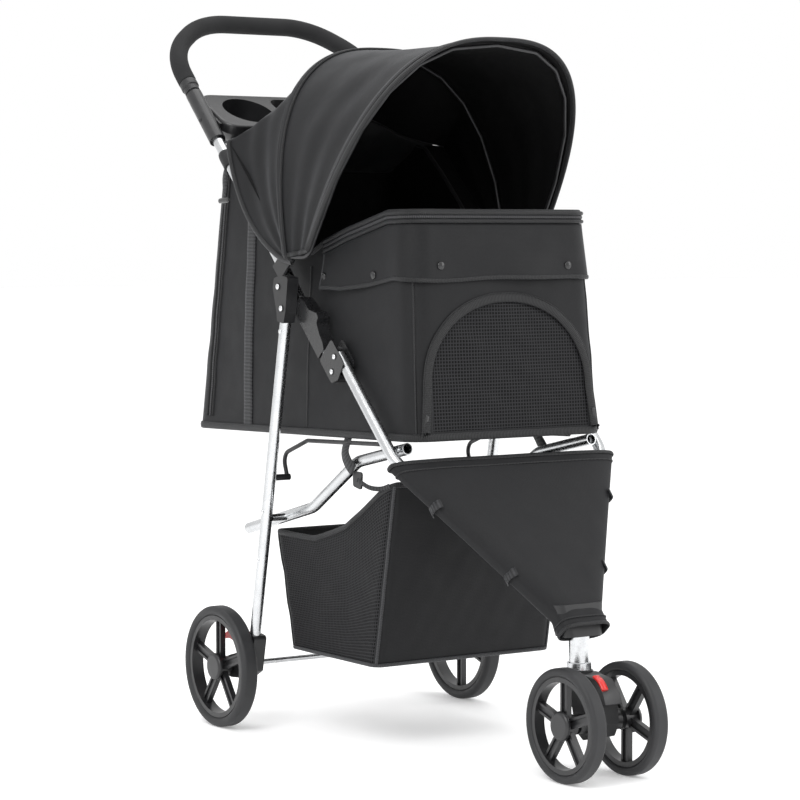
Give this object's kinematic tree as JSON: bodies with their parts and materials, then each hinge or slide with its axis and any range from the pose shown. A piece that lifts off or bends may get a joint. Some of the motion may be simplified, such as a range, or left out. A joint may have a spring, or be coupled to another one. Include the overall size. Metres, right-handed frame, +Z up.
{
  "type": "pet stroller",
  "caption": "Folding pet stroller: mesh-front cloth cabin with hood, tilted U handle with cup tray, basket below, cloth apron, rolling rear wheels and a swivelling front caster.",
  "frame": {"origin": "on the floor, at the centre of the bounding box in X and Y", "axes": "+Z up, the front faces -Y, +X is the side seen on the right from the front"},
  "size_m": [0.4522, 0.9507, 1.0433],
  "materials": {
    "silver_tube": "satin",
    "black_steel": "satin",
    "axle_steel": "satin",
    "black_cloth": "woven polyester",
    "black_mesh": "knitted mesh",
    "piping": "bound edge",
    "black_plastic": "matte",
    "latch_plastic": "semi gloss",
    "tray_plastic": "satin",
    "foam": "foamed",
    "tyre": "matte",
    "rim_plastic": "satin",
    "red_plastic": "gloss",
    "mat_cloth": "padded"
  },
  "bodies": {
    "front_frame": {"front_leg_right": "silver_tube", "front_leg_left": "silver_tube", "leg_joiner": "black_plastic", "stem": "black_plastic", "apron": "black_cloth", "cabin_front": "black_cloth", "window_mesh": "black_mesh", "cabin_rear": "black_cloth", "cabin_side_right": "black_cloth", "cabin_side_left": "black_cloth", "cabin_floor": "black_cloth", "floor_mat": "mat_cloth", "cabin_rim": "piping", "rim_flap": "black_cloth", "snaps": "latch_plastic"},
    "handle": {"handle_tube": "silver_tube", "foam_grip": "foam", "grip_collars": "black_plastic", "cup_tray": "tray_plastic", "latch_housing_right": "latch_plastic", "latch_housing_left": "latch_plastic", "canopy": "black_cloth", "canopy_hubs": "black_plastic"},
    "latch_right": {"latch_sleeve_right": "latch_plastic"},
    "latch_left": {"latch_sleeve_left": "latch_plastic"},
    "canopy_front_bow": {"bow_front": "black_steel"},
    "canopy_middle_bow": {"bow_mid": "black_steel"},
    "brace": {"brace_right": "silver_tube", "brace_left": "silver_tube", "floor_rod_right": "black_steel", "floor_rod_left": "black_steel", "basket_front": "black_cloth", "basket_rear": "black_mesh", "basket_side_right": "black_mesh", "basket_side_left": "black_mesh", "basket_bottom": "black_cloth", "strap_clip_right": "black_plastic", "strap_clip_left": "black_plastic"},
    "rear_frame": {"rear_leg_right": "silver_tube", "rear_leg_left": "silver_tube", "leg_bracket_right": "black_plastic", "leg_bracket_left": "black_plastic", "hub_bracket_right": "black_plastic", "hub_bracket_left": "black_plastic", "rear_axle": "axle_steel"},
    "brake_pedal_right": {"brake_right": "red_plastic"},
    "brake_pedal_left": {"brake_left": "red_plastic"},
    "rear_wheel_right": {"rear_tyre_right": "tyre", "rear_rim_right": "rim_plastic"},
    "rear_wheel_left": {"rear_tyre_left": "tyre", "rear_rim_left": "rim_plastic"},
    "caster": {"caster_fork": "black_plastic", "front_axle": "axle_steel"},
    "lock_lever": {"caster_lever": "red_plastic"},
    "front_wheel_right": {"front_tyre_right": "tyre", "front_rim_right": "rim_plastic"},
    "front_wheel_left": {"front_tyre_left": "tyre", "front_rim_left": "rim_plastic"}
  },
  "joints": [
    {"name": "fold", "type": "hinge", "parent": "front_frame", "child": "handle", "pos_m": [0, -0.0524, 0.5425], "axis": [1, 0, 0], "range_deg": [0, 165], "deforming": ["canopy", "bow_front", "bow_mid", "cabin_front", "window_mesh", "cabin_rear", "cabin_side_right", "cabin_side_left", "cabin_floor", "floor_mat", "cabin_rim", "rim_flap", "snaps", "basket_front", "basket_rear", "basket_side_right", "basket_side_left", "basket_bottom"]},
    {"name": "rear_fold", "type": "hinge", "parent": "handle", "child": "rear_frame", "pos_m": [0, 0.0636, 0.636], "axis": [1, 0, 0], "range_deg": [-53.5, 0]},
    {"name": "brace_fold", "type": "hinge", "parent": "front_frame", "child": "brace", "pos_m": [0, -0.1734, 0.421], "axis": [1, 0, 0], "range_deg": [0, 62.5]},
    {"name": "canopy_swing", "type": "hinge", "parent": "handle", "child": "canopy_front_bow", "pos_m": [0, 0.0536, 0.677], "axis": [-1, 0, 0], "range_deg": [-34, 58], "deforming": ["canopy"]},
    {"name": "canopy_middle", "type": "hinge", "parent": "handle", "child": "canopy_middle_bow", "pos_m": [0, 0.0536, 0.677], "axis": [-1, 0, 0], "range_deg": [-17.5, 29.5]},
    {"name": "latch_slide_right", "type": "slide", "parent": "handle", "child": "latch_right", "axis": [0, 0.7071, 0.7071], "range_m": [0, 0.012]},
    {"name": "latch_slide_left", "type": "slide", "parent": "handle", "child": "latch_left", "axis": [0, 0.7071, 0.7071], "range_m": [0, 0.012]},
    {"name": "rear_wheel_right_spin", "type": "hinge", "parent": "rear_frame", "child": "rear_wheel_right", "pos_m": [-0.2122, 0.20745, 0.0872], "axis": [1, 0, 0], "continuous": true},
    {"name": "rear_wheel_left_spin", "type": "hinge", "parent": "rear_frame", "child": "rear_wheel_left", "pos_m": [0.2122, 0.20745, 0.0872], "axis": [1, 0, 0], "continuous": true},
    {"name": "brake_right_tilt", "type": "hinge", "parent": "rear_frame", "child": "brake_pedal_right", "pos_m": [-0.189, 0.1776, 0.124], "axis": [1, 0, 0], "range_deg": [-14, 0]},
    {"name": "brake_left_tilt", "type": "hinge", "parent": "rear_frame", "child": "brake_pedal_left", "pos_m": [0.189, 0.1776, 0.124], "axis": [1, 0, 0], "range_deg": [-14, 0]},
    {"name": "caster_swivel", "type": "hinge", "parent": "front_frame", "child": "caster", "pos_m": [0, -0.3624, 0.15], "axis": [0, 0, 1], "continuous": true},
    {"name": "front_wheel_right_spin", "type": "hinge", "parent": "caster", "child": "front_wheel_right", "pos_m": [-0.0502, -0.40025, 0.075], "axis": [1, 0, 0], "continuous": true},
    {"name": "front_wheel_left_spin", "type": "hinge", "parent": "caster", "child": "front_wheel_left", "pos_m": [0.0502, -0.40025, 0.075], "axis": [1, 0, 0], "continuous": true},
    {"name": "swivel_lock", "type": "hinge", "parent": "caster", "child": "lock_lever", "pos_m": [0, -0.3954, 0.134], "axis": [1, 0, 0], "range_deg": [-12, 0]}
  ],
  "couplings": [
    {"joint": "rear_fold", "follows": "fold", "ratio": -0.32121},
    {"joint": "brace_fold", "follows": "fold", "ratio": 0.37576},
    {"joint": "canopy_middle", "follows": "canopy_swing", "ratio": 0.5}
  ]
}
